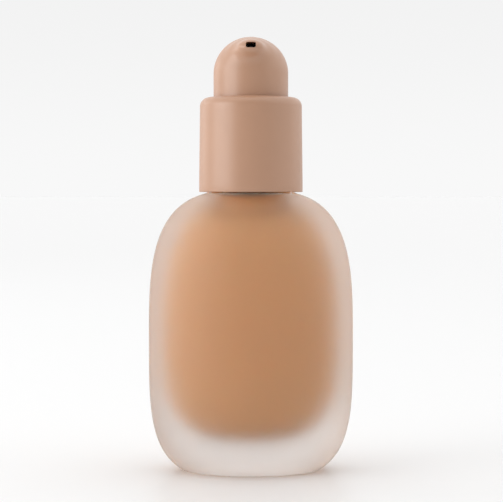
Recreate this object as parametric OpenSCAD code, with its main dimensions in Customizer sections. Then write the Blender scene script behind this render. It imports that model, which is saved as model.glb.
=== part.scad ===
// Foundation bottle with a treatment pump.
//
// A thick oval glass bottle holds liquid foundation. A screw closure, hidden in
// a tall sleeve, clamps the pump on the neck, and a domed head with a short
// spout drives it. All sizes are in millimetres. The bottle stands on z = 0
// with its axis on Z, and the spout points along -Y.

/* [Bottle] */
// Width of the bottle across its front
bottle_w = 48; // [44:1:58]
// Depth of the bottle from front to back
bottle_d = 34.6; // [32:0.2:42]
// Height of the flat shoulder that the neck stands on
shoulder_h = 65; // [62:1:80]
// Height of the bottle's widest level
waist_h = 30; // [26:1:34]
// Width of the flat on the shoulder
shoulder_flat = 20.9; // [20.7:0.1:24]
// Width of the foot that it stands on
foot_w = 32.2; // [28:0.2:36]
// Squareness of the outline above the waist: 2 is an ellipse, more is squarer
shoulder_square = 3.28; // [2.8:0.02:4]
// Squareness of the outline below the waist
base_square = 3.7; // [3:0.05:4.4]
// Thickness of the glass at the sides
side_wall = 6.1; // [5:0.1:8]
// Thickness of the glass at the front and back
front_wall = 4.5; // [3.6:0.1:6]
// Thickness of the glass base
base_wall = 8; // [6:0.5:10]
// Height of the liquid's surface below the shoulder
ullage = 0.4; // [0:0.2:6]

/* [Neck] */
// Diameter of the neck under its thread
neck_d = 17.8; // [17:0.1:21.6]
// Diameter of the bore through the neck
bore_d = 13.6; // [12:0.1:14]
// Height of the neck above the shoulder
neck_h = 10; // [9:0.5:12]
// Height of the thread's ridge above the neck
thread_rise = 1.05; // [0.8:0.05:1.2]
// Axial pitch of the thread
thread_pitch = 3.175; // [2.8:0.025:3.6]

/* [Sleeve] */
// Height of the sleeve
sleeve_h = 22.1; // [21:0.1:26]
// Thickness of the sleeve's wall at its foot
sleeve_wall = 0.8; // [0.7:0.05:1.4]
// Radius of the sleeve's top edge
sleeve_round = 2.1; // [1:0.1:2.4]
// How much narrower the sleeve is at its top than at its foot
sleeve_draft = 0.2; // [0:0.05:0.4]

/* [Head] */
// Diameter of the head's skirt
head_d = 17.5; // [16:0.1:18]
// Height of the head above the sleeve
head_rise = 14.2; // [13:0.1:18]
// Height of the head's dome
dome_h = 8.6; // [6:0.1:9.4]
// How far the spout's tip is from the axis
spout_reach = 10.9; // [10:0.1:14]
// Width of the slot in the spout
slot_w = 2.3; // [1.6:0.1:2.8]
// Height of the slot in the spout
slot_h = 1.3; // [0.8:0.05:1.5]
// Depth of the slot's centre below the top of the dome
slot_drop = 2.7; // [2.5:0.1:3.2]

/* [Pump] */
// Travel of the head from rest to fully pressed
stroke = 5; // [4:0.5:6]
// How far the piston slips on the stem to open the side port
piston_slip = 0.8; // [0.6:0.1:1]
// Diameter of the pump's cylinder bore
cylinder_bore = 6.4; // [6:0.1:7.8]
// Outer diameter of the stem
stem_d = 3.4; // [3.2:0.1:4.2]
// Diameter of the spring's wire
wire_d = 0.6; // [0.5:0.05:0.7]
// Number of turns in the spring
spring_turns = 7; // [5:1:8]
// Diameter of the inlet ball
ball_d = 2.5; // [2:0.1:2.8]
// Outer diameter of the dip tube
tube_d = 2.8; // [2.4:0.1:3.4]

/* [Hidden] */
$fn = 96;
hull_fn = 32;

// Clearances: a running fit, a seat that is all but closed, free air, and the liquid's
fit = 0.05;
seat = 0.05;
air = 0.3;
liquid_gap = 0.2;
eps = 0.01;

// Finishes
glass = [0.93, 0.88, 0.84, 0.45];
foundation = [0.74, 0.54, 0.39];
nude = [0.78, 0.63, 0.53];
natural = [0.93, 0.93, 0.9];
rubber = [0.86, 0.86, 0.84];
steel = [0.75, 0.76, 0.78];

// ---- Bottle sizes ----
half_w = bottle_w / 2;
depth_ratio = bottle_d / bottle_w;
rise = full_height(shoulder_h - waist_h, shoulder_flat / bottle_w, shoulder_square);
drop = full_height(waist_h, foot_w / bottle_w, base_square);
shoulder_wall = 3.4;
cavity_w = half_w - side_wall;
cavity_ratio = (bottle_d / 2 - front_wall) / cavity_w;
cavity_square = 3;
cavity_top = shoulder_h - shoulder_wall;
fill_z = shoulder_h - ullage;
bead_w = 1.4;
bead_h = 4;
lip_round = 0.5;
pushup_w = half_w / 2;
pushup_h = 1.2;
outline_steps = 16;
cavity_steps = 12;

// ---- Thread sizes ----
neck_r = neck_d / 2;
bead_r = neck_r + bead_w;
ridge_r = neck_r + thread_rise;
nut_root_r = ridge_r + air;
nut_crest_r = neck_r + 0.25;
neck_turns = 1.25;
nut_turns = 1.1;
thread_z = shoulder_h + 3.1;
thread_gap = 0.2;
ridge_foot = 1.9;
ridge_crest = 0.8;
nut_foot = 1.5;
nut_crest = 0.5;
ridge_foot_r = neck_r - air;
nut_foot_r = nut_root_r + air;
thread_steps = 40;
fade = 0.08;
fade_least = 0.06;
nut_start = 40;

// The closure's thread lies under the neck's thread, a flank's gap below it
ridge_half = ridge_crest / 2
    + (ridge_foot - ridge_crest) / 2 * (ridge_r - nut_crest_r) / (ridge_r - ridge_foot_r);
nut_z = thread_z + thread_pitch * nut_start / 360 - ridge_half - nut_crest / 2 - thread_gap;

// ---- Levels up the axis ----
lip_z = shoulder_h + neck_h;
gasket_z = lip_z + seat;
gasket_t = 1;
flange_z = gasket_z + gasket_t;
flange_t = 1.2;
flange_top = flange_z + flange_t;
plate_z = flange_top + seat;
plate_t = 1.2;
closure_top = plate_z + plate_t;
sleeve_z = shoulder_h + air;
sleeve_top = sleeve_z + sleeve_h;
head_top = sleeve_top + head_rise;
dome_z = head_top - dome_h;
slot_z = head_top - slot_drop;
press_room = 0.5;
skirt_z = closure_top + stroke + press_room;
hub_h = 3.35;
hub_top = flange_top + hub_h;
core_z = hub_top + stroke + press_room;
stem_grip = 6.5;
stem_top = core_z + stem_grip;
guide_depth = 4.75;
guide_z = flange_top - guide_depth;
piston_h = 4;
piston_z = guide_z - piston_slip - air - piston_h;
seat_z = piston_z - seat;
plug_head_t = 1.4;
plug_z = seat_z - plug_head_t;
spring_solid = wire_d * spring_turns;
spring_slack = 0.7;
spring_z = plug_z - stroke - spring_solid - spring_slack;

// ---- Pump sizes ----
cylinder_r = cylinder_bore / 2;
cylinder_wall = 0.8;
housing_r = cylinder_r + cylinder_wall;
flange_r = neck_r - fit;
stem_r = stem_d / 2;
stem_wall = 0.75;
stem_bore_r = stem_r - stem_wall;
spigot_h = 3;
spigot_wall = 0.4;
port_r = 0.3;
plug_gap = 0.6;
plug_r = cylinder_r - plug_gap;
plug_body_h = 1.65;
pilot_h = 1;
spring_r = plug_r - wire_d / 2 - 2 * fit;
ball_r = ball_d / 2;
pocket_r = ball_r + air;
pocket_h = 4;
inlet_share = 0.64;
inlet_r = ball_r * inlet_share;
seat_h = 1;
rib_h = 0.7;
rib_r = 0.5;
tube_r = tube_d / 2;
tube_wall = 0.5;
tube_bore_r = tube_r - tube_wall;
socket_wall = 1;
socket_r = tube_r + socket_wall;
socket_h = 5;
inlet_h = 1;
pocket_z = spring_z - pocket_h;
socket_top = pocket_z - inlet_h;
tube_top = socket_top - liquid_gap;
tube_rise = 1.3;
tube_z = base_wall + tube_rise;
tube_slant = 30;

// The ball rests where it all but touches the cone of its seat
seat_slope = (pocket_r - inlet_r) / seat_h;
ball_z = pocket_z - inlet_r / seat_slope + (ball_r + seat) / sin(atan(seat_slope));

// ---- Closure, sleeve and head sizes ----
closure_wall = 1.05;
closure_r = nut_root_r + closure_wall;
closure_rise = 1;
closure_z = shoulder_h + closure_rise;
guide_flange_w = 1.4;
guide_flange_r = cylinder_r + guide_flange_w;
guide_flange_t = 0.8;
hub_step = 0.2;
lead_in = 0.4;
hub_r = cylinder_r + hub_step;
plate_hole_r = guide_flange_r + air;
sleeve_bore_r = closure_r + fit;
sleeve_r = sleeve_bore_r + sleeve_wall;
sleeve_cap_t = 1.4;
ledge_h = 1;
ledge_w = 1;
relief = 0.15;
head_r = head_d / 2;
sleeve_hole_r = head_r + air;
head_wall = 1.1;
dome_square = 2;
head_inner_r = head_r - head_wall;
duct_wall = 0.35;
duct_w = slot_w + 2 * duct_wall;
duct_h = slot_h + 2 * duct_wall;
spout_wall = 4.3;
duct_end = spout_reach - spout_wall;
boss_wall = 1.1;
boss_r = stem_r + boss_wall;
disc_rise = 4;
disc_z = skirt_z + disc_rise;
disc_t = 1.2;

// The socket for the stem stops under the curved roof of the head's hollow
roof_share = pow(1 - pow(boss_r / head_inner_r, dome_square), 1 / dome_square);
boss_top = min(slot_z + duct_h / 2, dome_z + (dome_h - head_wall) * roof_share - fit);

// The spout lies between two ellipsoids, given as [half-width, half-depth, half-height]
spout_tip = [3, 2.2, 1.8];
spout_root = [4.7, 3.2, 3.7];
tip_drop = 0.5;
root_y = -5;
root_drop = 4.5;

// ---- Curves ----

// Points on the upper right quarter of a superellipse, from angle a to angle b
function quarter(half_w, half_h, square, a, b, steps) = [
    for (i = [0:steps])
        let (t = a + (b - a) * i / steps)
        [half_w * pow(cos(t), 2 / square), half_h * pow(sin(t), 2 / square)]
];

// Points on an arc about a centre, from angle a to angle b
function arc(centre, r, a, b, steps = 8) = [
    for (i = [0:steps])
        let (t = a + (b - a) * i / steps)
        centre + r * [cos(t), sin(t)]
];

// Angle at which a superellipse of half-height full is cut at height cut
function cut_angle(cut, full, square) = asin(pow(cut / full, square / 2));

// Half-height of the superellipse that has narrowed to a share of its width at height cut
function full_height(cut, share, square) = cut / pow(1 - pow(share, square), 1 / square);

// A section, as [radius, height] points, turned to an angle and raised
function turned(section, angle, z) = [
    for (p = section) [p[0] * cos(angle), p[0] * sin(angle), z + p[1]]
];

// A solid through a list of rings that hold the same number of points
module sweep(rings) {
    sides = len(rings[0]);
    last = len(rings) - 1;
    polyhedron(
        points = [for (ring = rings) each ring],
        faces = concat(
            [[for (k = [sides - 1:-1:0]) k]],
            [for (i = [0:last - 1], k = [0:sides - 1])
                let (n = (k + 1) % sides)
                [i * sides + k, i * sides + n, (i + 1) * sides + n, (i + 1) * sides + k]],
            [[for (k = [0:sides - 1]) last * sides + k]]
        )
    );
}

// A solid turned from an outline of [half-width, height] points, then flattened
// front to back. Two half turns keep its faces accurate.
module oval(outline, ratio, z) {
    for (side = [0, 180])
        translate([0, 0, z]) scale([1, ratio, 1]) rotate([0, 0, side])
            rotate_extrude(angle = 180) polygon(outline);
}

// A cylinder that stands on height z
module post(z, h, r) {
    translate([0, 0, z]) cylinder(h = h, r = r);
}

// A ring that stands on height z
module ring(z, h, outer_r, inner_r) {
    difference() {
        post(z, h, outer_r);
        post(z - eps, h + 2 * eps, inner_r);
    }
}

// A box with round edges along Y, centred on x = 0 and height z, from y = -front to y = -back
module duct(w, h, z, front, back) {
    corner = h * 0.3;
    translate([0, -back, z]) rotate([90, 0, 0]) linear_extrude(front - back)
        hull() for (x = [-1, 1], y = [-1, 1])
            translate([x * (w / 2 - corner), y * (h / 2 - corner)]) circle(r = corner, $fn = hull_fn);
}

// ---- Threads ----

// A screw ridge that starts on height z: its section stands on radius foot_r and
// ends on radius crest_r, and it fades in and out at its ends
module ridge(z, turns, foot_r, crest_r, foot_w, crest_w, start) {
    steps = ceil(thread_steps * turns);
    sweep([
        for (i = [0:steps])
            let (
                along = i / steps,
                full = min(1, min(along, 1 - along) / fade),
                tip_r = foot_r + (crest_r - foot_r) * max(fade_least, full),
                foot = foot_w / 2,
                tip = crest_w / 2,
                section = crest_r > foot_r
                    ? [[foot_r, -foot], [tip_r, -tip], [tip_r, tip], [foot_r, foot]]
                    : [[foot_r, foot], [tip_r, tip], [tip_r, -tip], [foot_r, -foot]]
            )
            turned(section, start + 360 * turns * along, z + thread_pitch * turns * along)
    ]);
}

// ---- Bottle and contents ----

// The space for the liquid, drawn in by a margin on every side
module cavity(margin) {
    w = cavity_w - margin;
    up = cavity_top - waist_h - margin;
    down = waist_h - base_wall - margin;
    lower = quarter(w, down, cavity_square, 90, 0, cavity_steps);
    upper = quarter(w, up, cavity_square, 0, 90, cavity_steps);
    outline = concat([for (p = lower) [p[0], -p[1]]], [for (i = [1:cavity_steps]) upper[i]]);
    oval(outline, cavity_ratio, waist_h);
}

module bottle() {
    base_t = cut_angle(waist_h, drop, base_square);
    top_t = cut_angle(shoulder_h - waist_h, rise, shoulder_square);
    lower = quarter(half_w, drop, base_square, base_t, 0, outline_steps);
    upper = quarter(half_w, rise, shoulder_square, 0, top_t, outline_steps);
    dish_r = (pushup_w * pushup_w + pushup_h * pushup_h) / (2 * pushup_h);
    color(glass) difference() {
        union() {
            oval(concat(
                [[0, -waist_h]],
                [for (p = lower) [p[0], -p[1]]],
                [for (i = [1:outline_steps]) upper[i]],
                [[0, shoulder_h - waist_h]]
            ), depth_ratio, waist_h);
            rotate_extrude() polygon(concat(
                [[0, shoulder_h - bead_h], [bead_r, shoulder_h - bead_h]],
                arc([bead_r - lip_round, shoulder_h - lip_round], lip_round, 0, 90),
                [[neck_r, shoulder_h]],
                arc([neck_r - lip_round, lip_z - lip_round], lip_round, 0, 90),
                [[0, lip_z]]
            ));
            ridge(thread_z, neck_turns, ridge_foot_r, ridge_r, ridge_foot, ridge_crest, 0);
        }
        cavity(0);
        post(cavity_top - bead_h, lip_z, bore_d / 2);
        translate([0, 0, pushup_h - dish_r]) scale([1, depth_ratio, 1]) sphere(r = dish_r);
    }
}

module foundation_fill() {
    color(foundation) difference() {
        union() {
            cavity(liquid_gap);
            post(cavity_top - bead_h, lip_z, bore_d / 2 - liquid_gap);
        }
        post(fill_z, lip_z, half_w);
        post(0, shoulder_h, tube_r + air);
        post(socket_top - socket_h - air, shoulder_h, socket_r + air);
        post(pocket_z - inlet_h - air, shoulder_h, housing_r + air);
    }
}

// ---- Pump, fixed parts ----

module neck_gasket() {
    color(rubber) ring(gasket_z, gasket_t, neck_r - seat, housing_r + fit);
}

// The cylinder, with its flange, ball pocket and dip tube socket
module pump_housing() {
    foot_z = socket_top - socket_h;
    shoulder_z = pocket_z + seat_h;
    vent_z = piston_z + piston_h / 2;
    color(natural) difference() {
        rotate_extrude() polygon([
            [tube_r + seat, foot_z], [socket_r, foot_z], [socket_r, socket_top],
            [housing_r, shoulder_z], [housing_r, flange_z], [flange_r, flange_z],
            [flange_r, flange_top], [cylinder_r, flange_top], [cylinder_r, spring_z],
            [pocket_r, spring_z], [pocket_r, pocket_z + seat_h], [inlet_r, pocket_z],
            [inlet_r, socket_top], [tube_r + seat, socket_top]
        ]);
        translate([0, 0, vent_z]) rotate([0, 90, 0]) cylinder(h = 2 * housing_r, r = port_r);
    }
    color(natural) for (a = [0:120:240])
        rotate([0, 0, a]) translate([pocket_r, 0, spring_z - rib_h]) cylinder(h = rib_h, r = rib_r);
}

module stem_guide() {
    color(natural) difference() {
        union() {
            post(guide_z, flange_top - guide_z + eps, cylinder_r - fit);
            post(flange_top, guide_flange_t, guide_flange_r);
            post(flange_top, hub_top - flange_top, hub_r);
        }
        post(guide_z - eps, hub_top - guide_z + 2 * eps, stem_r + fit);
        translate([0, 0, hub_top - lead_in]) cylinder(h = lead_in + eps, r1 = stem_r + fit, r2 = stem_r + lead_in);
    }
}

// The tube's foot is cut on a slant so that it can't seal on the floor
module dip_tube() {
    color(natural) difference() {
        ring(tube_z, tube_top - tube_z, tube_r, tube_bore_r);
        translate([0, 0, tube_z + tube_r * tan(tube_slant)]) rotate([0, tube_slant, 0])
            translate([0, 0, -tube_d]) cube([4 * tube_d, 4 * tube_d, 2 * tube_d], center = true);
    }
}

module inlet_ball() {
    color(steel) translate([0, 0, ball_z]) sphere(r = ball_r);
}

// Wire coil with a closed turn at each end
module return_spring() {
    steps = 24;
    wire_sides = 8;
    wire_r = wire_d / 2;
    total = plug_z - spring_z;
    active = spring_turns - 2;
    pitch = (total - 3 * wire_d) / active;
    wire = [for (k = [0:wire_sides - 1])
        let (t = 360 * k / wire_sides)
        [spring_r + wire_r * cos(t), wire_r * sin(t)]];
    color(steel) sweep([
        for (i = [0:steps * spring_turns])
            let (
                turn = i / steps,
                lower = min(turn, 1),
                upper = max(turn - spring_turns + 1, 0),
                middle = turn - lower - upper
            )
            turned(wire, 360 * turn, spring_z + wire_r + wire_d * (lower + upper) + pitch * middle)
    ]);
}

// ---- Pump, moving parts ----

module stem() {
    foot_z = seat_z + plug_body_h;
    color(natural) ring(foot_z, stem_top - foot_z, stem_r, stem_bore_r);
}

// Lower end of the stem: the piston's seat, the side port and a spigot
module stem_plug() {
    port_z = seat_z + piston_slip / 2 + seat;
    foot_z = seat_z + plug_body_h;
    color(natural) difference() {
        union() {
            post(plug_z, plug_head_t, plug_r);
            post(plug_z - pilot_h, pilot_h + eps, spring_r - wire_d);
            post(seat_z - eps, plug_body_h + eps, stem_r);
            post(foot_z - eps, spigot_h + eps, stem_bore_r);
        }
        post(port_z, foot_z + spigot_h, stem_bore_r - spigot_wall);
        translate([0, 0, port_z]) rotate([0, 90, 0]) cylinder(h = 4 * stem_r, r = port_r, center = true);
    }
}

// Seal with a lip at each end that wipes the cylinder
module piston() {
    lip_h = 0.7;
    lip_w = 0.6;
    cone = 0.4;
    lip_r = cylinder_r - fit;
    waist_r = cylinder_r - 0.5;
    top = piston_z + piston_h;
    color(natural) rotate_extrude() polygon([
        [stem_r + fit, piston_z], [waist_r - cone, piston_z], [waist_r, piston_z + cone],
        [lip_r, piston_z + cone], [lip_r, piston_z + lip_h], [waist_r, piston_z + 2 * lip_h],
        [waist_r, top - 2 * lip_h], [lip_r, top - lip_h], [lip_r, top], [lip_r - lip_w, top],
        [lip_r - 1.3 * lip_w, top - lip_h], [stem_r + fit, top - lip_h]
    ]);
}

// ---- Closure ----

// Threaded cap that clamps the housing's flange on the neck
module screw_closure() {
    color(natural) {
        difference() {
            post(closure_z, closure_top - closure_z, closure_r);
            post(closure_z - eps, plate_z - closure_z + eps, nut_root_r);
            post(closure_z, closure_top, plate_hole_r);
        }
        ridge(nut_z, nut_turns, nut_foot_r, nut_crest_r, nut_foot, nut_crest, nut_start);
    }
}

// Over-shell with a rounded top edge, resting on the closure by an inner ledge
module collar_sleeve() {
    top_r = sleeve_r - sleeve_draft;
    inner_top = sleeve_top - sleeve_cap_t;
    color(nude) rotate_extrude() polygon(concat(
        [[sleeve_bore_r, sleeve_z], [sleeve_r, sleeve_z]],
        arc([top_r - sleeve_round, sleeve_top - sleeve_round], sleeve_round, 0, 90),
        [
            [sleeve_hole_r, sleeve_top], [sleeve_hole_r, inner_top],
            [sleeve_bore_r - relief, inner_top], [sleeve_bore_r - relief, closure_top + ledge_h],
            [sleeve_bore_r - ledge_w, closure_top + ledge_h], [sleeve_bore_r - ledge_w, closure_top],
            [sleeve_bore_r, closure_top]
        ]
    ));
}

// ---- Head ----

// Inner part of the head: socket for the stem, disc that snaps in the skirt, duct to the slot
module actuator_core() {
    color(natural) difference() {
        union() {
            post(core_z, boss_top - core_z, boss_r);
            post(disc_z, disc_t, head_inner_r - fit);
            duct(duct_w, duct_h, slot_z, duct_end, 0);
        }
        post(core_z - eps, stem_top + fit - core_z + eps, stem_r + fit);
        post(stem_top, slot_z - stem_top, stem_bore_r);
        duct(slot_w, slot_h, slot_z, duct_end + eps, -stem_bore_r / 2);
    }
}

// Domed shell with a spout that narrows to the slot
module actuator_head() {
    outer = quarter(head_r, dome_h, dome_square, 0, 90, outline_steps);
    inner = quarter(head_inner_r, dome_h - head_wall, dome_square, 0, 90, outline_steps);
    color(nude) difference() {
        union() {
            rotate_extrude() polygon(concat(
                [[0, skirt_z], [head_r, skirt_z]],
                [for (p = outer) [p[0], dome_z + p[1]]]
            ));
            hull() {
                translate([0, spout_tip[1] - spout_reach, slot_z - tip_drop])
                    scale(spout_tip) sphere(r = 1, $fn = hull_fn);
                translate([0, root_y, head_top - root_drop])
                    scale(spout_root) sphere(r = 1, $fn = hull_fn);
            }
        }
        rotate_extrude() polygon(concat(
            [[0, skirt_z - eps], [head_inner_r, skirt_z - eps]],
            [for (p = inner) [p[0], dome_z + p[1]]]
        ));
        duct(duct_w + 2 * fit, duct_h + 2 * fit, slot_z, duct_end + fit, 0);
        duct(slot_w, slot_h, slot_z, 2 * spout_reach, 0);
    }
}

bottle();
foundation_fill();
neck_gasket();
pump_housing();
stem_guide();
dip_tube();
inlet_ball();
return_spring();
stem();
stem_plug();
piston();
screw_closure();
collar_sleeve();
actuator_core();
actuator_head();
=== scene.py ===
# %% [markdown]
# # A foundation bottle with a treatment pump
#
# The object is a heavy oval glass bottle, frosted on the outside, full of liquid foundation. A pump with a
# tall matt sleeve and a domed press head is screwed on its neck. The measured model of every piece is
# loaded first, and everything below takes its sizes and places from it.

# %% Load the measured model
import bpy
import math
import numpy as np
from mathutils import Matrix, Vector


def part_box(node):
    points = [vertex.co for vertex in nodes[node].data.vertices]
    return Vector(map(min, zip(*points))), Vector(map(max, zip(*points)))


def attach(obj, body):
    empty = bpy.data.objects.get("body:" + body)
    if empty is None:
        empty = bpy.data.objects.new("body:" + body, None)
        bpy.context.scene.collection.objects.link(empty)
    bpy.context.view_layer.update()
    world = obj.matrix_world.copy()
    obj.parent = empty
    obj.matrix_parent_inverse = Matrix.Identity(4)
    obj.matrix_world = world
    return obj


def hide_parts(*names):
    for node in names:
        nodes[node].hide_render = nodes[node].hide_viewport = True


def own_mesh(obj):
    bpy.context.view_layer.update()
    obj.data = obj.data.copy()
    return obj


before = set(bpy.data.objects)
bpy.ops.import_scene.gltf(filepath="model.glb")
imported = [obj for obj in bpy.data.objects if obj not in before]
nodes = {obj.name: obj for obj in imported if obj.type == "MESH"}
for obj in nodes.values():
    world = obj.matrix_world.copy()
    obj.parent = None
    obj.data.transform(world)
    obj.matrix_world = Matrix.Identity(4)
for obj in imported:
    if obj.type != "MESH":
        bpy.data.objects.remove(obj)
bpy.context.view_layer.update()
MM = 0.001
print("pieces in the model:", len(nodes))

# %% [markdown]
# ## Sizes
#
# The outlines are superellipses, the family between an oval and a rectangle, because this kind of bottle has
# no straight side and no true corner. One exponent sets how square the outline is. The widths, the depth and
# the levels come from the boxes of the measured pieces, so that the shapes made here fit the inside pieces.

# %% Sizes of the glass, the liquid, the sleeve and the head
_, glass_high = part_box("bottle")
fill_low, fill_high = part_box("foundation_fill")
sleeve_low, sleeve_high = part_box("collar_sleeve")
head_low, head_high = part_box("actuator_head")

HALF_W, HALF_D = glass_high.x, glass_high.y
LIP = glass_high.z
NECK_H = 10 * MM
SHOULDER = LIP - NECK_H
WAIST_SHARE = 30 / 65
WAIST = SHOULDER * WAIST_SHARE
SHOULDER_FLAT, FOOT_HALF = 10.45 * MM, 16.1 * MM
SHOULDER_SQUARE, BASE_SQUARE, CAVITY_SQUARE = 3.28, 3.7, 3.0


def full_height(cut, share, square):
    """Half-height of the superellipse that has narrowed to a share of its width at the height cut."""
    return cut / (1 - share ** square) ** (1 / square)


RISE = full_height(SHOULDER - WAIST, SHOULDER_FLAT / HALF_W, SHOULDER_SQUARE)
DROP = full_height(WAIST, FOOT_HALF / HALF_W, BASE_SQUARE)

LIQUID_GAP = 0.2 * MM
CAVITY_W, CAVITY_D = fill_high.x + LIQUID_GAP, fill_high.y + LIQUID_GAP
CAVITY_FLOOR = fill_low.z - LIQUID_GAP
TOP_WALL = 3.4 * MM
CAVITY_TOP = SHOULDER - TOP_WALL
LIQUID_TOP = fill_high.z

BEAD_R, NECK_R, BORE_R = 10.3 * MM, 8.9 * MM, 6.8 * MM
AROUND = 192
print("glass", round(2 * HALF_W / MM, 1), "x", round(2 * HALF_D / MM, 1), "x", round(SHOULDER / MM, 1), "mm")

# %% [markdown]
# ## Surfaces made of rings
#
# Nearly every piece of a pump bottle is round or oval in plan, so one helper makes them all: it joins a list
# of rings, each with the same number of points, into a skin. A screw modifier could turn a round outline, but
# rings also take an oval that turns into a round neck, or a screw thread, with no seam.

# %% Helpers that make rings and skins
TURN = np.linspace(0, 2 * math.pi, AROUND, endpoint=False)
COS, SIN = np.cos(TURN), np.sin(TURN)


def quarter(half_w, half_h, square, start, end, steps):
    """Points [x, z] on a superellipse between two angles in degrees, 0 at the side and 90 at the top."""
    t = np.radians(np.linspace(start, end, steps + 1))
    x = half_w * np.abs(np.cos(t)) ** (2 / square)
    z = half_h * np.sign(np.sin(t)) * np.abs(np.sin(t)) ** (2 / square)
    return np.stack([x, z], axis=1)


def cut_angle(cut, full, square):
    """The angle at which a superellipse of half-height full reaches the height cut."""
    return math.degrees(math.asin((cut / full) ** (square / 2)))


def arc(x, z, r, start, end, steps=6):
    """Points [x, z] on an arc about a centre, between two angles in degrees."""
    t = np.radians(np.linspace(start, end, steps + 1))
    return np.stack([x + r * np.cos(t), z + r * np.sin(t)], axis=1)


def oval_radius(half_w, half_d):
    """The distance from the axis to an oval, in every direction round it."""
    return 1 / np.sqrt((COS / half_w) ** 2 + (SIN / half_d) ** 2)


def ring(radius, z):
    """A ring of points. radius and z are one number, or one for each direction."""
    return np.stack([COS * radius, SIN * radius, np.zeros(AROUND) + z], axis=1)


def soft_max(a, b, blend):
    """The larger of two values, rounded over a width of blend where they cross."""
    return (a + b + np.sqrt((a - b) ** 2 + blend ** 2)) / 2


def skin(name, rings, loop=False):
    """Joins rings into a smooth closed skin: end to end if loop, and otherwise with a cap on both ends."""
    points = np.concatenate(rings)
    n = len(rings)
    faces = []
    for i in range(n if loop else n - 1):
        a, b = i * AROUND, (i + 1) % n * AROUND
        for k in range(AROUND):
            m = (k + 1) % AROUND
            faces.append((a + k, a + m, b + m, b + k))
    if not loop:
        faces.append(tuple(reversed(range(AROUND))))
        faces.append(tuple((n - 1) * AROUND + k for k in range(AROUND)))
    mesh = bpy.data.meshes.new(name)
    mesh.from_pydata(points.tolist(), [], faces)
    mesh.shade_smooth()
    obj = bpy.data.objects.new(name, mesh)
    bpy.context.scene.collection.objects.link(obj)
    return obj


def turned(name, outline, loop=True):
    """A round piece: an outline of [radius, z] points turned about the axis."""
    return skin(name, [ring(r, z) for r, z in outline], loop)


def sharp_edges(obj, degrees):
    """Keeps edges steeper than this angle crisp."""
    obj.data.set_sharp_from_angle(angle=math.radians(degrees))


# %% [markdown]
# ## The glass
#
# A moulded bottle is one body of glass with two skins. The outer one is oval, stands on a narrow foot round a
# shallow dish, and turns round at the bead under the neck. The inner one is the cavity that the mould's
# blow leaves: smaller, rounder, and with a thick floor under it. Both are made as one closed skin, so that
# light bends into the glass and out of it where it really does.

# %% Outer skin of the glass, from the dish under it to the shoulder
DISH_W, DISH_H = HALF_W * 0.5, 1.2 * MM


def outer_rings():
    ratio = HALF_D / HALF_W
    rings = []
    for s in np.linspace(0.02, 1, 14):
        rings.append(ring(oval_radius(DISH_W * s, DISH_W * s * ratio), DISH_H * (1 - s * s)))
    low = quarter(HALF_W, DROP, BASE_SQUARE, cut_angle(WAIST, DROP, BASE_SQUARE), 0, 44)
    foot_w = low[0][0]
    for s in (0.05, 0.5, 0.9, 0.97):
        w = DISH_W + (foot_w - DISH_W) * s
        rings.append(ring(oval_radius(w, w * ratio), 0.0))
    for w, z in low[1:]:
        rings.append(ring(oval_radius(w, w * ratio), WAIST - z))
    high = quarter(HALF_W, RISE, SHOULDER_SQUARE, 0, cut_angle(SHOULDER - WAIST, RISE, SHOULDER_SQUARE), 60)
    for w, z in high[1:]:
        radius = soft_max(oval_radius(w, w * ratio), BEAD_R - 0.15 * MM, 0.6 * MM)
        rings.append(ring(radius, WAIST + z))
    return rings


# %% Neck with its screw thread, then the bore and the cavity
PITCH, THREAD_TURNS, THREAD_RISE = 3.175 * MM, 1.25, 1.05 * MM
THREAD_Z = SHOULDER + 3.1 * MM
RIDGE_FOOT, RIDGE_CREST = 0.95 * MM, 0.4 * MM


def thread_height(z):
    """How far the thread stands out of the neck at height z, in every direction."""
    best = np.zeros(AROUND)
    for k in range(2):
        turned_by = TURN + 2 * math.pi * k
        along = turned_by / (2 * math.pi * THREAD_TURNS)
        off = np.abs(z - THREAD_Z - PITCH * turned_by / (2 * math.pi))
        flank = np.clip((RIDGE_FOOT - off) / (RIDGE_FOOT - RIDGE_CREST), 0, 1)
        fade = np.clip(np.minimum(along, 1 - along) / 0.08, 0, 1)
        best = np.maximum(best, THREAD_RISE * flank * fade)
    return best


def neck_rings():
    round_r = 0.5 * MM
    rings = [ring(r, z) for r, z in arc(BEAD_R - round_r, SHOULDER - 0.1 * MM, round_r, 45, 90, 3)]
    rings += [ring(NECK_R + 0.25 * MM, SHOULDER + 0.42 * MM), ring(NECK_R, SHOULDER + 0.7 * MM)]
    for z in np.arange(THREAD_Z - 1.2 * MM, LIP - 1.2 * MM, 0.16 * MM):
        rings.append(ring(NECK_R + thread_height(z), z))
    rings += [ring(r, z) for r, z in arc(NECK_R - round_r, LIP - round_r, round_r, 0, 90)]
    rings += [ring(r, z) for r, z in arc(BORE_R + 0.3 * MM, LIP - 0.3 * MM, 0.3 * MM, 90, 180)]
    return rings


def cavity_rings(grow, top):
    """The cavity's wall from its top down, drawn out by grow. top cuts off what is above it."""
    w, d = CAVITY_W + grow, CAVITY_D + grow
    high = quarter(w, CAVITY_TOP - WAIST + grow, CAVITY_SQUARE, 88, 0, 44)
    low = quarter(w, WAIST - CAVITY_FLOOR + grow, CAVITY_SQUARE, 0, 89.5, 44)
    rings = []
    for x, z in high:
        if WAIST + z <= top:
            radius = soft_max(oval_radius(x, x * d / w), BORE_R + grow, 0.8 * MM)
            rings.append(ring(radius, WAIST + z))
    for x, z in low[1:]:
        rings.append(ring(oval_radius(x, x * d / w), WAIST - z))
    return rings


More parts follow.
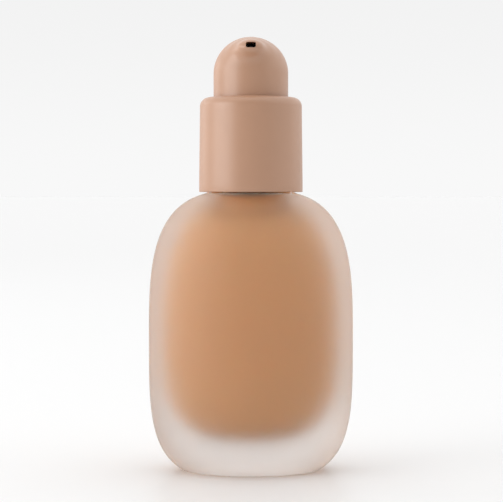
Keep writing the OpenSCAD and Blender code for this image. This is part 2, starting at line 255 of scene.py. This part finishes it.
outer = outer_rings()
neck = neck_rings()
bore = [ring(BORE_R, z) for z in np.linspace(LIP - 0.6 * MM, CAVITY_TOP + 0.8 * MM, 6)]
inner = bore + cavity_rings(0.0, LIP)
glass_bottle = skin("glass_bottle", outer + neck + inner)
print("glass faces:", len(glass_bottle.data.polygons))

# %% [markdown]
# ## The liquid
#
# Foundation is an opaque cream that wets the glass. Where a liquid touches glass there is no air between
# them, so its skin is let a little way into the glass: light then meets the cream straight from the glass,
# with no bright film of air. A hole down its middle leaves room for the pump and its tube.

# %% Liquid foundation
housing_low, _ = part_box("pump_housing")
_, tube_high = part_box("dip_tube")
AIR = 0.3 * MM
WET = 0.12 * MM
pump_r, socket_r, tube_r = 4.0 * MM, 2.4 * MM, tube_high.x


def liquid_rings():
    neck = [ring(BORE_R + WET, z) for z in np.linspace(LIQUID_TOP, CAVITY_TOP + 0.8 * MM, 4)]
    rings = neck + cavity_rings(WET, LIQUID_TOP)
    hole = [
        (tube_r + AIR, CAVITY_FLOOR - WET), (tube_r + AIR, housing_low.z - AIR),
        (socket_r + AIR, housing_low.z - AIR), (socket_r + AIR, tube_high.z - AIR),
        (pump_r + AIR, tube_high.z + 0.9 * MM), (pump_r + AIR, LIQUID_TOP),
        (pump_r + AIR + 0.5 * MM, LIQUID_TOP - 0.4 * MM), (BORE_R - 0.5 * MM, LIQUID_TOP - 0.4 * MM),
    ]
    return rings + [ring(r, z) for r, z in hole]


liquid = skin("liquid_foundation", liquid_rings(), loop=True)
print("liquid top", round(LIQUID_TOP / MM, 1), "mm")

# %% [markdown]
# ## The sleeve
#
# The sleeve is a thin moulded cup without a floor, slipped over the screw closure. Its wall narrows a touch
# towards the top, as a moulding must to leave its tool, and its top edge is well rounded.

# %% Sleeve
SLEEVE_R, SLEEVE_WALL, SLEEVE_ROUND = sleeve_high.x, 0.8 * MM, 2.1 * MM
SLEEVE_TOP_R = SLEEVE_R - 0.2 * MM
HOLE_R = head_high.x + 0.3 * MM
EDGE = 0.18 * MM


def sleeve_outline():
    inside = SLEEVE_R - SLEEVE_WALL
    z0, z1 = sleeve_low.z, sleeve_high.z
    return np.concatenate([
        arc(SLEEVE_R - EDGE, z0 + EDGE, EDGE, -90, 0, 4),
        np.linspace([SLEEVE_R, z0 + 2 * MM], [SLEEVE_TOP_R, z1 - SLEEVE_ROUND - 1 * MM], 6),
        arc(SLEEVE_TOP_R - SLEEVE_ROUND, z1 - SLEEVE_ROUND, SLEEVE_ROUND, 0, 90, 14),
        arc(HOLE_R + EDGE, z1 - EDGE, EDGE, 90, 180, 4),
        [[HOLE_R, z1 - 1.4 * MM], [inside - 0.15 * MM, z1 - 1.4 * MM]],
        [[inside - 0.15 * MM, z0 + 14.2 * MM], [inside - 1 * MM, z0 + 14.2 * MM]],
        [[inside - 1 * MM, z0 + 13.2 * MM], [inside, z0 + 13.2 * MM]],
        [[inside, z0 + EDGE]],
        [[inside + EDGE, z0]],
    ])


sleeve = turned("sleeve", sleeve_outline())
sharp_edges(sleeve, 50)

# %% [markdown]
# ## The press head
#
# The head is a straight round skirt under a dome, and the dome flows forward into a short spout. A moulder
# would blend the two with a generous radius. Here each is a simple field, a number that is below zero inside
# the shape, and a smooth minimum of the two fields gives that radius. Rays from the middle of the dome find
# where the blended field reaches zero. The inside and the slot are then cut out.

# %% Outer surface of the head
HEAD_R = head_high.x
DOME_H = 8.6 * MM
DOME_Z = head_high.z - DOME_H
SPOUT_TIP = -head_low.y
SLOT_Z = head_high.z - 2.7 * MM
SLOT_W, SLOT_H = 2.3 * MM, 1.3 * MM
TIP_SIZE, ROOT_SIZE = np.array([3.0, 2.2, 1.8]) * MM, np.array([4.7, 3.2, 3.7]) * MM
TIP = np.array([0, 2.2 * MM - SPOUT_TIP, SLOT_Z - 0.5 * MM])
ROOT = np.array([0, -5.0 * MM, head_high.z - 4.5 * MM])


def dome_field(p):
    r = np.hypot(p[..., 0], p[..., 1]) / HEAD_R
    z = np.maximum(p[..., 2] - DOME_Z, 0) / DOME_H
    return (np.sqrt(r * r + z * z) - 1) * HEAD_R


def spout_field(p, steps=20):
    """A bar with round ends that tapers from the root to the tip."""
    best = np.full(p.shape[:-1], 1.0)
    for t in np.linspace(0, 1, steps):
        size = ROOT_SIZE + (TIP_SIZE - ROOT_SIZE) * t
        off = (p - ROOT - (TIP - ROOT) * t) / size
        best = np.minimum(best, (np.sqrt((off * off).sum(axis=-1)) - 1) * size.min())
    return best


def head_field(p, blend=1.5 * MM):
    """Both fields joined, with a fillet only where they are closer than blend."""
    a, b = dome_field(p), spout_field(p)
    near = np.maximum(blend - np.abs(a - b), 0)
    return np.minimum(a, b) - near * near / (4 * blend)


def head_rings(rows=110):
    """Rings of points where the rays from the dome's middle leave the head, then one at the skirt's foot."""
    rings = []
    for tilt in np.radians(np.linspace(89.6, -28, rows)):
        up = np.zeros(AROUND) + math.sin(tilt)
        ray = np.stack([COS * math.cos(tilt), SIN * math.cos(tilt), up], axis=1)
        near, far = np.zeros(AROUND), np.full(AROUND, 0.02)
        for _ in range(40):
            middle = (near + far) / 2
            inside = head_field(ray * middle[:, None] + [0, 0, DOME_Z + 1 * MM]) < 0
            near, far = np.where(inside, middle, near), np.where(inside, far, middle)
        rings.append(ray * near[:, None] + [0, 0, DOME_Z + 1 * MM])
    foot = rings[-1].copy()
    foot[:, 2] = head_low.z
    rings.append(foot)
    return rings[::-1]


# %% Cut the inside and the slot
def rounded_duct(name, w, h, z, front, back):
    """A cutter along Y with round edges, from y = -front to y = -back."""
    corner = h * 0.3
    side, top = w / 2 - corner, h / 2 - corner
    outline = np.concatenate([
        arc(side, top, corner, 0, 90),
        arc(-side, top, corner, 90, 180),
        arc(-side, -top, corner, 180, 270),
        arc(side, -top, corner, 270, 360),
    ])
    n = len(outline)
    points = [(x, -front, z + up) for x, up in outline] + [(x, -back, z + up) for x, up in outline]
    faces = [tuple(reversed(range(n))), tuple(range(n, 2 * n))]
    faces += [(k, (k + 1) % n, n + (k + 1) % n, n + k) for k in range(n)]
    mesh = bpy.data.meshes.new(name)
    mesh.from_pydata(points, [], [tuple(reversed(f)) for f in faces])
    cutter = bpy.data.objects.new(name, mesh)
    bpy.context.scene.collection.objects.link(cutter)
    return cutter


def cut(obj, cutters):
    """Takes the cutters out of obj for good."""
    for cutter in cutters:
        modifier = obj.modifiers.new(cutter.name, "BOOLEAN")
        modifier.operation, modifier.solver, modifier.object = "DIFFERENCE", "EXACT", cutter
    shape = bpy.data.meshes.new_from_object(obj.evaluated_get(bpy.context.evaluated_depsgraph_get()))
    obj.modifiers.clear()
    obj.data = shape
    for cutter in cutters:
        bpy.data.objects.remove(cutter)


head = skin("press_head", head_rings())
WALL = 1.1 * MM
hollow = quarter(HEAD_R - WALL, DOME_H - WALL, 2, 0, 89.5, 30)
hollow_foot = [[HEAD_R - WALL, head_low.z - 1 * MM]]
inside = turned("hollow", np.concatenate([hollow_foot, hollow + [0, DOME_Z]]), loop=False)
duct_end = SPOUT_TIP - 4.3 * MM
cut(head, [
    inside,
    rounded_duct("duct", SLOT_W + 0.8 * MM, SLOT_H + 0.8 * MM, SLOT_Z, duct_end, 0),
    rounded_duct("slot", SLOT_W, SLOT_H, SLOT_Z, SPOUT_TIP + 1 * MM, 5 * MM),
])
sharp_edges(head, 40)
print("head faces:", len(head.data.polygons))

# %% [markdown]
# ## The spring
#
# The return spring is a coil of steel wire with a closed turn at each end. It is drawn as a curve with a
# round section.

# %% Return spring
spring_low, spring_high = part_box("return_spring")
WIRE_R, COILS = 0.3 * MM, 7
coil_r = spring_high.x - WIRE_R
SPRING_STEPS = 20


def spring_point(turn):
    """A point on the wire's middle line. The first and the last turn lie flat, one wire apart."""
    closed = min(turn, 1) + max(turn - COILS + 1, 0)
    pitch = (spring_high.z - spring_low.z - 6 * WIRE_R) / (COILS - 2)
    z = spring_low.z + WIRE_R + 2 * WIRE_R * closed + pitch * (turn - closed)
    angle = 2 * math.pi * turn
    return (coil_r * math.cos(angle), coil_r * math.sin(angle), z)


wire = bpy.data.curves.new("coil_spring", "CURVE")
wire.dimensions, wire.bevel_depth, wire.bevel_resolution, wire.use_fill_caps = "3D", WIRE_R, 3, True
line = wire.splines.new("POLY")
line.points.add(COILS * SPRING_STEPS)
for i, point in enumerate(line.points):
    point.co = (*spring_point(i / SPRING_STEPS), 1)
spring_curve = bpy.data.objects.new("coil_spring_curve", wire)
bpy.context.scene.collection.objects.link(spring_curve)
depsgraph = bpy.context.evaluated_depsgraph_get()
spring_mesh = bpy.data.meshes.new_from_object(spring_curve.evaluated_get(depsgraph))
bpy.data.objects.remove(spring_curve)
spring = bpy.data.objects.new("coil_spring", spring_mesh)
spring_mesh.shade_smooth()
bpy.context.scene.collection.objects.link(spring)

# %% [markdown]
# ## Finishes
#
# Each finish is a small tree of nodes. Plain values sit on the shader's own sockets, and only what varies
# over a surface comes from a texture: grain, mottling and the bump that goes with it.

# %% Helpers for finishes
def finish(name, colour, **values):
    """A new material with one Principled shader, its base colour and any other of its sockets by name."""
    mat = bpy.data.materials.new(name)
    mat.use_nodes = True
    shader = mat.node_tree.nodes["Principled BSDF"]
    shader.inputs["Base Color"].default_value = (*colour, 1)
    for socket, value in values.items():
        shader.inputs[socket.replace("_", " ").title().replace("Ior", "IOR")].default_value = value
    return mat, shader


def grain(mat, size, detail=2.0):
    """A noise output over the object, with lumps of this size in metres."""
    nodes_, links = mat.node_tree.nodes, mat.node_tree.links
    place = nodes_.new("ShaderNodeTexCoord")
    noise = nodes_.new("ShaderNodeTexNoise")
    noise.inputs["Scale"].default_value = 1 / size
    noise.inputs["Detail"].default_value = detail
    links.new(place.outputs["Object"], noise.inputs["Vector"])
    return noise.outputs["Fac"]


def between(mat, factor, low, high):
    """A noise output stretched between two values."""
    node = mat.node_tree.nodes.new("ShaderNodeMapRange")
    node.inputs["From Min"].default_value, node.inputs["From Max"].default_value = 0.3, 0.7
    node.inputs["To Min"].default_value, node.inputs["To Max"].default_value = low, high
    mat.node_tree.links.new(factor, node.inputs["Value"])
    return node.outputs["Result"]


def tint(mat, shader, factor, dark, light):
    """Varies the base colour between two tones."""
    node = mat.node_tree.nodes.new("ShaderNodeMix")
    node.data_type = "RGBA"
    node.inputs["A"].default_value, node.inputs["B"].default_value = (*dark, 1), (*light, 1)
    mat.node_tree.links.new(factor, node.inputs["Factor"])
    mat.node_tree.links.new(node.outputs["Result"], shader.inputs["Base Color"])


def bumpy(mat, shader, height, depth, strength=1.0):
    """Gives the shader a bump of this depth in metres."""
    node = mat.node_tree.nodes.new("ShaderNodeBump")
    node.inputs["Distance"].default_value = depth
    node.inputs["Strength"].default_value = strength
    mat.node_tree.links.new(height, node.inputs["Height"])
    mat.node_tree.links.new(node.outputs["Normal"], shader.inputs["Normal"])


def scaled(colour, by):
    return tuple(c * by for c in colour)


# %% Frosted glass, clear glass and the cream
frosted, shader = finish("frosted_glass", (0.83, 0.8, 0.78), transmission_weight=1.0, ior=1.5, roughness=0.62)
links = frosted.node_tree.links
links.new(between(frosted, grain(frosted, 6 * MM), 0.6, 0.64), shader.inputs["Roughness"])
bumpy(frosted, shader, grain(frosted, 0.12 * MM), 0.004 * MM)

clear, shader = finish("clear_glass", (0.98, 0.985, 0.98), transmission_weight=1.0, ior=1.5, roughness=0.03)
links = clear.node_tree.links
links.new(between(clear, grain(clear, 9 * MM), 0.02, 0.05), shader.inputs["Roughness"])

CREAM = (0.785, 0.42, 0.193)
cream, shader = finish("foundation_cream", CREAM, roughness=0.35, ior=1.4, subsurface_weight=0.2)
shader.inputs["Subsurface Radius"].default_value = (1.2 * MM, 0.6 * MM, 0.3 * MM)
tint(cream, shader, between(cream, grain(cream, 12 * MM), 0, 1), scaled(CREAM, 0.985), scaled(CREAM, 1.015))

# %% Matt nude plastic
NUDE = (0.48, 0.262, 0.161)
nude, shader = finish("nude_plastic", NUDE, roughness=0.38, ior=1.5, specular_ior_level=0.85)
links = nude.node_tree.links
links.new(between(nude, grain(nude, 1.5 * MM, 4), 0.35, 0.41), shader.inputs["Roughness"])
tint(nude, shader, between(nude, grain(nude, 8 * MM), 0, 1), scaled(NUDE, 0.985), scaled(NUDE, 1.015))
bumpy(nude, shader, grain(nude, 0.16 * MM, 3), 0.003 * MM)

# %% Natural plastic, foam and steel
NATURAL = (0.78, 0.78, 0.74)
natural, shader = finish("natural_plastic", NATURAL, roughness=0.4, ior=1.49, subsurface_weight=0.3)
shader.inputs["Subsurface Radius"].default_value = (1.0 * MM, 1.0 * MM, 0.8 * MM)
tint(natural, shader, between(natural, grain(natural, 3 * MM), 0, 1), scaled(NATURAL, 0.96), NATURAL)
bumpy(natural, shader, grain(natural, 0.3 * MM), 0.004 * MM)

FOAM = (0.72, 0.72, 0.68)
foam, shader = finish("gasket_foam", FOAM, roughness=0.85)
tint(foam, shader, between(foam, grain(foam, 0.3 * MM), 0, 1), scaled(FOAM, 0.85), FOAM)
bumpy(foam, shader, grain(foam, 0.25 * MM), 0.03 * MM)

STEEL = (0.62, 0.62, 0.63)
steel, shader = finish("spring_steel", STEEL, roughness=0.22, metallic=1.0)
tint(steel, shader, between(steel, grain(steel, 0.5 * MM), 0, 1), scaled(STEEL, 0.92), STEEL)
bumpy(steel, shader, grain(steel, 0.08 * MM), 0.002 * MM)

# %% [markdown]
# ## Putting the pieces on their bodies
#
# Each new piece stands for the measured piece that it was made from, and rides on the same moving body. The
# pieces inside the pump keep their measured shapes and only take a finish.

# %% Ride, replace and finish
def dress(obj, *mats):
    obj.data.materials.clear()
    for mat in mats:
        obj.data.materials.append(mat)


dress(glass_bottle, frosted, clear)
frosted_rings = len(outer)
for index, face in enumerate(glass_bottle.data.polygons):
    face.material_index = 0 if index < (frosted_rings - 1) * AROUND else 1
glass_bottle.data.polygons[len(glass_bottle.data.polygons) - 2].material_index = 0

for piece, node, body, slot, mat in (
    (glass_bottle, "bottle", "vial", "glass", None),
    (liquid, "foundation_fill", "vial", "foundation", cream),
    (sleeve, "collar_sleeve", "closure", "nude_plastic", nude),
    (head, "actuator_head", "head", "nude_plastic", nude),
    (spring, "return_spring", "pump", "steel", steel),
):
    if mat:
        dress(piece, mat)
    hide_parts(node)
    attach(piece, body)

for name, mat in (
    ("neck_gasket", foam), ("pump_housing", natural), ("stem_guide", natural), ("dip_tube", natural),
    ("inlet_ball", steel), ("stem", natural), ("stem_plug", natural), ("piston", natural),
    ("screw_closure", natural), ("actuator_core", natural),
):
    dress(nodes[name], mat)

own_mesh(spring)

# %% [markdown]
# ## Floor, light and camera
#
# The bottle stands on a plain pale floor in a bright room that is dim behind the camera, which keeps the
# middle of the plastic free of glare. A wide soft light on the left gives the broad sheen, and two weaker
# ones behind the bottle lift its left and right edges. The camera is level with the shoulder of the bottle,
# some way off, and tipped a little down.

# %% Floor
floor_mesh = bpy.data.meshes.new("floor")
FLOOR = 60.0
floor_corners = [(-FLOOR, -FLOOR, 0), (FLOOR, -FLOOR, 0), (FLOOR, FLOOR, 0), (-FLOOR, FLOOR, 0)]
floor_mesh.from_pydata(floor_corners, [], [(0, 1, 2, 3)])
floor = bpy.data.objects.new("floor", floor_mesh)
bpy.context.scene.collection.objects.link(floor)
paper, shader = finish("floor_paper", (0.817, 0.817, 0.817), roughness=0.4, specular_ior_level=0.3)
dress(floor, paper)

# %% Light
world = bpy.data.worlds.new("bright_room")
world.use_nodes = True
tree = world.node_tree
direction = tree.nodes.new("ShaderNodeTexCoord")
axes = tree.nodes.new("ShaderNodeSeparateXYZ")
tree.links.new(direction.outputs["Generated"], axes.inputs["Vector"])


def room_step(value, start, end, low, high):
    """Goes smoothly from low to high while value goes from start to end."""
    node = tree.nodes.new("ShaderNodeMapRange")
    node.interpolation_type = "SMOOTHSTEP"
    for socket, number in (("From Min", start), ("From Max", end), ("To Min", low), ("To Max", high)):
        node.inputs[socket].default_value = number
    tree.links.new(value, node.inputs["Value"])
    return node.outputs["Result"]


def room_mix(factor, a, b):
    """Mixes two brightnesses. Each is a number or an output."""
    node = tree.nodes.new("ShaderNodeMix")
    tree.links.new(factor, node.inputs["Factor"])
    for socket, value in (("A", a), ("B", b)):
        if isinstance(value, float):
            node.inputs[socket].default_value = value
        else:
            tree.links.new(value, node.inputs[socket])
    return node.outputs["Result"]


HORIZON, WALL_TOP, CEILING, BEHIND_CAMERA = 0.94, 0.895, 1.25, 0.35
wall = room_step(axes.outputs["Z"], 0.0, 0.12, HORIZON, WALL_TOP)
upper = room_mix(room_step(axes.outputs["Z"], 0.12, 0.35, 0.0, 1.0), wall, CEILING)
room = room_mix(room_step(axes.outputs["Y"], -0.9, -0.25, 0.0, 1.0), BEHIND_CAMERA, upper)
tree.links.new(room, tree.nodes["Background"].inputs["Strength"])
tree.nodes["Background"].inputs["Color"].default_value = (1, 1, 1, 1)
bpy.context.scene.world = world


def softbox(name, azimuth, elevation, distance, width, height, radiance):
    """An area light that faces the bottle. Azimuth 0 is the camera's side, and positive goes to the right."""
    a, e = math.radians(azimuth), math.radians(elevation)
    place = Vector((math.sin(a) * math.cos(e), -math.cos(a) * math.cos(e), math.sin(e))) * distance
    target = Vector((0, 0, 0.055))
    data = bpy.data.lights.new(name, "AREA")
    data.shape, data.size, data.size_y = "RECTANGLE", width, height
    data.energy = radiance * math.pi * width * height
    lamp = bpy.data.objects.new(name, data)
    lamp.location = target + place
    lamp.rotation_euler = (-place).to_track_quat("-Z", "Y").to_euler()
    lamp.visible_camera = False
    bpy.context.scene.collection.objects.link(lamp)


softbox("key_left", -66, 12, 0.9, 0.8, 0.42, 2.95)
softbox("edge_left", -125, 12, 1.0, 0.4, 0.42, 1.25)
softbox("edge_right", 115, 12, 1.0, 0.4, 0.42, 0.37)

# %% Camera
DISTANCE, EYE, TIP_DOWN = 0.401, 64.6 * MM, math.radians(1.88)
camera_data = bpy.data.cameras.new("camera")
camera_data.sensor_width, camera_data.lens = 36, 122.1
camera = bpy.data.objects.new("camera", camera_data)
camera.location = (0.14 * MM, -DISTANCE, EYE)
camera.rotation_euler = (math.pi / 2 - TIP_DOWN, 0, 0)
camera_data.clip_start, camera_data.clip_end = 0.01, 200
bpy.context.scene.collection.objects.link(camera)
bpy.context.scene.camera = camera
bpy.context.scene.view_settings.view_transform = "Standard"
